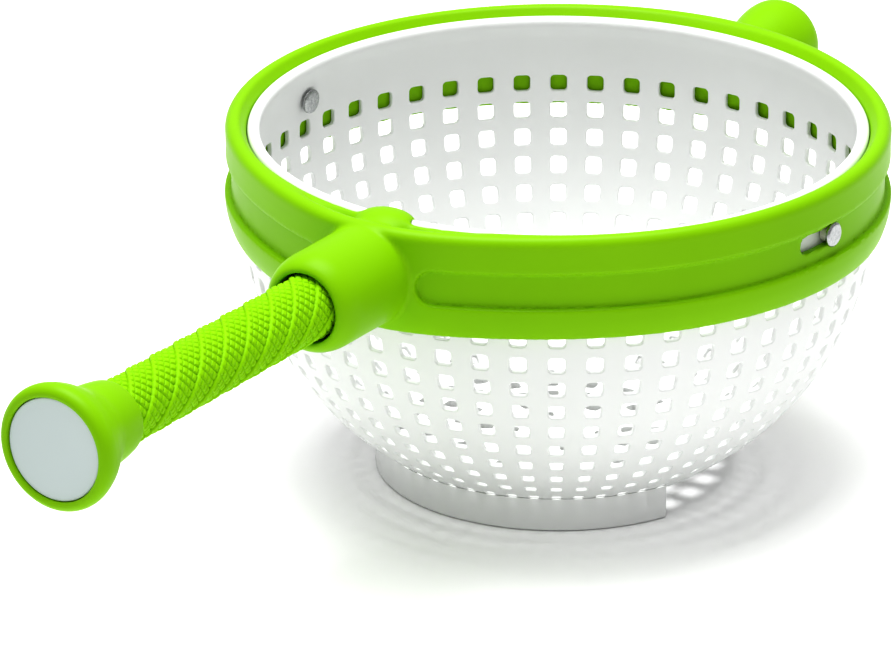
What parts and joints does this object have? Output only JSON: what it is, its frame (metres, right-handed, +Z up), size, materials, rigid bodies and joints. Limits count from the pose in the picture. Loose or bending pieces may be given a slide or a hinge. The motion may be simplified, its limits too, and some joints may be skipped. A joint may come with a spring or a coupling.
{
  "type": "salad spinner",
  "caption": "Perforated bowl held in a ring, with a hub whose knurled handle turns freely so the bowl can be whirled about it to dry leaves; short knob opposite, arc foot below.",
  "frame": {"origin": "middle of the underside of the whole object's bounding box, in the plane that the foot stands on", "axes": "+Z up along the bowl's axis; +X from the long handle's end towards the short knob; +Y completes the right-handed frame"},
  "size_m": [0.513, 0.2586, 0.148],
  "materials": {
    "white_plastic": "smooth moulded white plastic, soft gloss",
    "green_plastic": "smooth moulded bright green plastic, satin gloss",
    "green_grip": "knurled bright green plastic, matte",
    "grey_plastic": "fine matte light grey plastic",
    "core_plastic": "plain black structural plastic",
    "bearing_plastic": "natural self-lubricating bearing plastic",
    "steel": "fine turned stainless steel"
  },
  "bodies": {
    "basket": {"basket": "white_plastic", "guide_pin_right": "steel", "guide_pin_left": "steel", "pin_cap_right": "steel", "pin_cap_left": "steel", "slot_bush_right": "bearing_plastic", "slot_bush_left": "bearing_plastic"},
    "ring": {"ring_frame": "green_plastic", "bearing_bush_outer": "bearing_plastic", "bearing_bush_inner": "bearing_plastic"},
    "handle": {"spindle": "steel", "retaining_clip": "steel", "thrust_washer": "bearing_plastic", "grip_core": "core_plastic", "grip_sleeve": "green_grip", "end_cap": "green_plastic", "end_disc": "grey_plastic", "end_washer": "steel", "end_screw": "steel"}
  },
  "joints": [
    {"name": "ring_twist", "type": "hinge", "parent": "basket", "child": "ring", "pos_m": [0.0825, 0, 0.12], "axis": [0, 0, 1], "range_deg": [0, 6.5]},
    {"name": "handle_spin", "type": "hinge", "parent": "ring", "child": "handle", "pos_m": [-0.0945, 0, 0.1236], "axis": [-1, 0, 0], "continuous": true}
  ]
}
